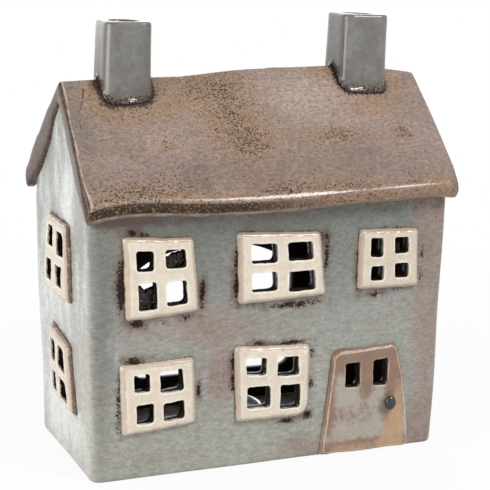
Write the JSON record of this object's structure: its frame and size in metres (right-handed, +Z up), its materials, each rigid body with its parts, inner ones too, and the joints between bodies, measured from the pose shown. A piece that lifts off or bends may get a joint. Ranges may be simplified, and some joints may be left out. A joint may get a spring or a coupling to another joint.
{
  "type": "tealight house",
  "caption": "Slab-built glazed ceramic house that stands over a tealight, with pierced window tiles, a door, hollow chimneys and an arched rear opening.",
  "frame": {"origin": "centre of the house's footprint between the outer wall faces, on the plane it stands on", "axes": "+Z up, +X to the right seen from the front, so the door side faces -Y and the opening faces +Y"},
  "size_m": [0.1934, 0.1071, 0.2155],
  "materials": {
    "wall_glaze": "glossy grey-green glaze",
    "roof_glaze": "glossy speckled brown glaze",
    "chimney_glaze": "glossy grey glaze",
    "window_glaze": "glossy cream glaze",
    "door_glaze": "glossy tan glaze",
    "knob_glaze": "glossy dark glaze",
    "floor_clay": "satin fired clay",
    "cup_metal": "thin drawn foil",
    "wax": "white wax",
    "wick_cotton": "waxed cotton",
    "foot_metal": "tinned steel"
  },
  "bodies": {
    "house": {"floor_slab": "floor_clay", "front_wall": "wall_glaze", "rear_wall": "wall_glaze", "left_gable_wall": "wall_glaze", "right_gable_wall": "wall_glaze", "front_roof_slab": "roof_glaze", "rear_roof_slab": "roof_glaze", "left_chimney": "chimney_glaze", "right_chimney": "chimney_glaze", "window_upper_left": "window_glaze", "window_upper_middle": "window_glaze", "window_upper_right": "window_glaze", "window_lower_left": "window_glaze", "window_lower_middle": "window_glaze", "left_gable_window_upper": "window_glaze", "left_gable_window_lower": "window_glaze", "right_gable_window_upper": "window_glaze", "right_gable_window_lower": "window_glaze", "front_door": "door_glaze", "door_knob": "knob_glaze"},
    "tealight": {"tealight_cup": "cup_metal"},
    "candle": {"tealight_wax": "wax", "wick": "wick_cotton", "wick_foot": "foot_metal"}
  },
  "joints": [
    {"name": "tealight_lift_out", "type": "slide", "parent": "house", "child": "tealight", "axis": [0, 0.8829, 0.4695], "range_m": [0, 0.11]},
    {"name": "candle_lift", "type": "slide", "parent": "tealight", "child": "candle", "axis": [0, 0, 1], "range_m": [0, 0.025]}
  ]
}
